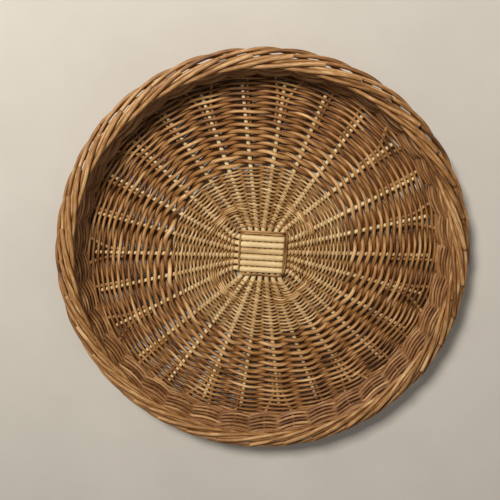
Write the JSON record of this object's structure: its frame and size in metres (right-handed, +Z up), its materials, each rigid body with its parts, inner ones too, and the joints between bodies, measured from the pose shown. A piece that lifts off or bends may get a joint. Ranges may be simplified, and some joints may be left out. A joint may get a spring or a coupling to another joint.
{
  "type": "winnowing basket",
  "caption": "Shallow round tray woven from willow rods, with a flat base on crossed sticks, a low waled wall and a plain rod border.",
  "frame": {"origin": "middle of the foot, on the surface that the basket stands on", "axes": "+Z up out of the mouth, +X along the six split base sticks, +Y along the seven sticks through them"},
  "size_m": [0.5351, 0.5347, 0.0625],
  "materials": {
    "peeled_stick": "peeled white willow, cream, satin",
    "fine_willow": "thin buff willow rods, light golden brown, satin",
    "coarse_willow": "buff willow rods, orange brown with streaks and small knots, satin",
    "wale_willow": "buff willow rods, darker brown, satin",
    "stake_willow": "buff willow rods, golden brown, soft sheen"
  },
  "bodies": {
    "root": {"through_stick_1": "peeled_stick", "through_stick_2": "peeled_stick", "through_stick_3": "peeled_stick", "through_stick_4": "peeled_stick", "through_stick_5": "peeled_stick", "through_stick_6": "peeled_stick", "through_stick_7": "peeled_stick", "across_stick_1": "peeled_stick", "across_stick_2": "peeled_stick", "across_stick_3": "peeled_stick", "across_stick_4": "peeled_stick", "across_stick_5": "peeled_stick", "across_stick_6": "peeled_stick", "slath_tie": "fine_willow", "fine_pairing_top": "fine_willow", "fine_pairing_under": "fine_willow", "coarse_pairing_top": "coarse_willow", "coarse_pairing_under": "coarse_willow", "upset_wale": "wale_willow", "side_wale_1": "wale_willow", "side_wale_2": "wale_willow", "side_wale_3": "wale_willow", "side_wale_4": "wale_willow", "stake_01": "stake_willow", "stake_02": "stake_willow", "stake_03": "stake_willow", "stake_04": "stake_willow", "stake_05": "stake_willow", "stake_06": "stake_willow", "stake_07": "stake_willow", "stake_08": "stake_willow", "stake_09": "stake_willow", "stake_10": "stake_willow", "stake_11": "stake_willow", "stake_12": "stake_willow", "stake_13": "stake_willow", "stake_14": "stake_willow", "stake_15": "stake_willow", "stake_16": "stake_willow", "stake_17": "stake_willow", "stake_18": "stake_willow", "stake_19": "stake_willow", "stake_20": "stake_willow", "stake_21": "stake_willow", "stake_22": "stake_willow", "stake_23": "stake_willow", "stake_24": "stake_willow", "stake_25": "stake_willow", "stake_26": "stake_willow", "stake_27": "stake_willow", "stake_28": "stake_willow", "stake_29": "stake_willow", "stake_30": "stake_willow", "stake_31": "stake_willow", "stake_32": "stake_willow", "stake_33": "stake_willow", "stake_34": "stake_willow", "stake_35": "stake_willow", "stake_36": "stake_willow", "stake_37": "stake_willow"}
  },
  "joints": []
}
